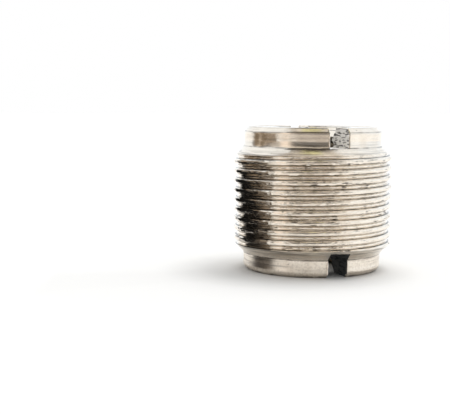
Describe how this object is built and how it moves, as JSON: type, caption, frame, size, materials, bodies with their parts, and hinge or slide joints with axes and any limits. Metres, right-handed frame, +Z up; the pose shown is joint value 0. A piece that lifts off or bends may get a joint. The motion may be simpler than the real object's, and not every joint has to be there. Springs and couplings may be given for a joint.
{
  "type": "thread adapter",
  "caption": "Short turned bush with a fine outer screw thread between plain collars, a tapped through bore and a screwdriver slot across each end face.",
  "frame": {"origin": "centre of the lower end face, on the bore's axis", "axes": "+Z up along the bore's axis, +Y along both screwdriver slots, +X across them"},
  "size_m": [0.0156, 0.0156, 0.0141],
  "materials": {
    "plated_metal": "bright nickel plate over turned metal, warm in tone, with fine turning lines"
  },
  "bodies": {
    "root": {"adapter": "plated_metal"}
  },
  "joints": []
}
